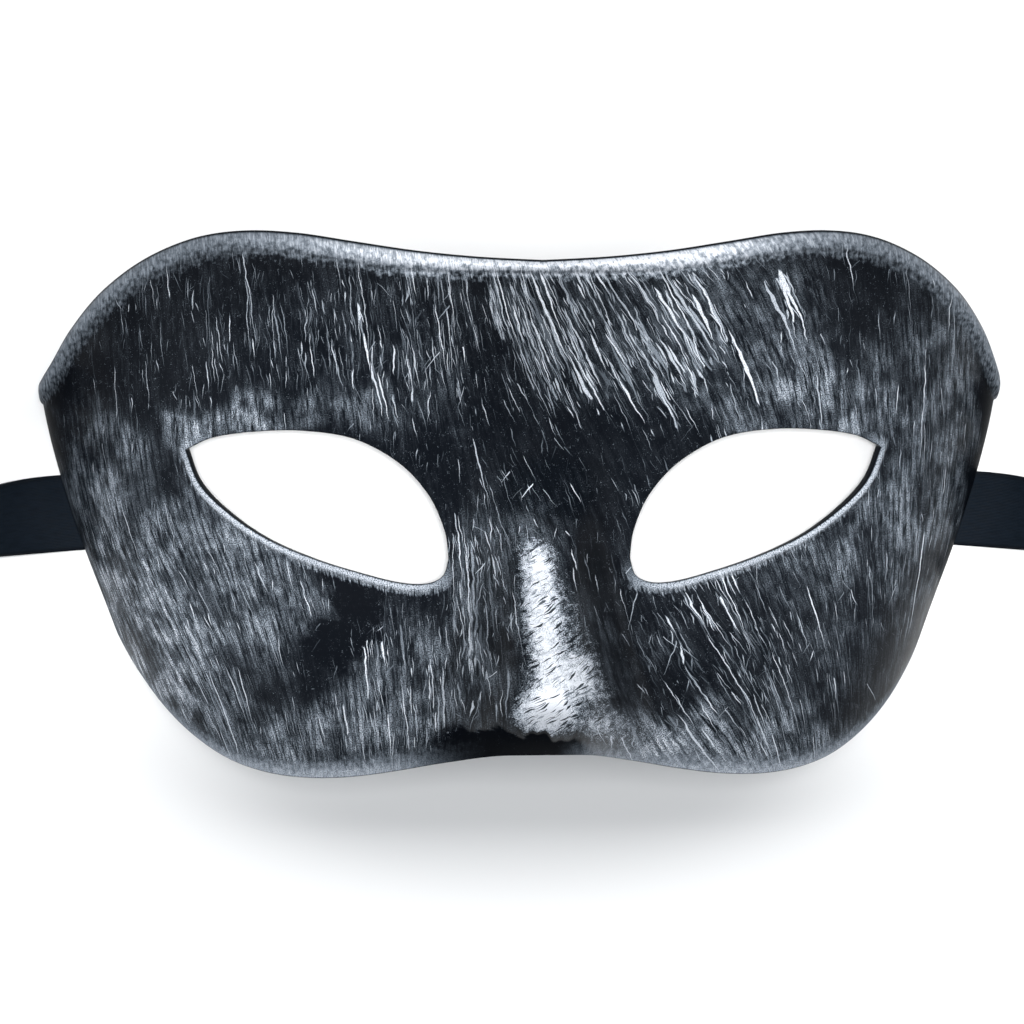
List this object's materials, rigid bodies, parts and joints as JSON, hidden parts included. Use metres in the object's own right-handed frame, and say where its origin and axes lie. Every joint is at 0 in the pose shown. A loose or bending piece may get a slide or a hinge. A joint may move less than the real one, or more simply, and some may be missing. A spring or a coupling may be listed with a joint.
{
  "type": "masquerade half mask with tie ribbons",
  "caption": "Moulded half mask with open eye holes, a nose, a rolled top rim, a brushed silver finish and flat tie ribbons at its sides.",
  "frame": {"origin": "on the table, under the middle of the part, with the mask lying on its back", "axes": "+X across the face to the picture's right, +Y up the face, +Z out of the face and away from the table"},
  "size_m": [0.208, 0.0972, 0.0708],
  "materials": {
    "painted_plastic": "black moulded plastic, dry-brushed with silver paint",
    "ribbon_satin": "black satin ribbon"
  },
  "bodies": {
    "root": {"mask_shell": "painted_plastic", "ribbon_left": "ribbon_satin", "ribbon_right": "ribbon_satin"}
  },
  "joints": []
}
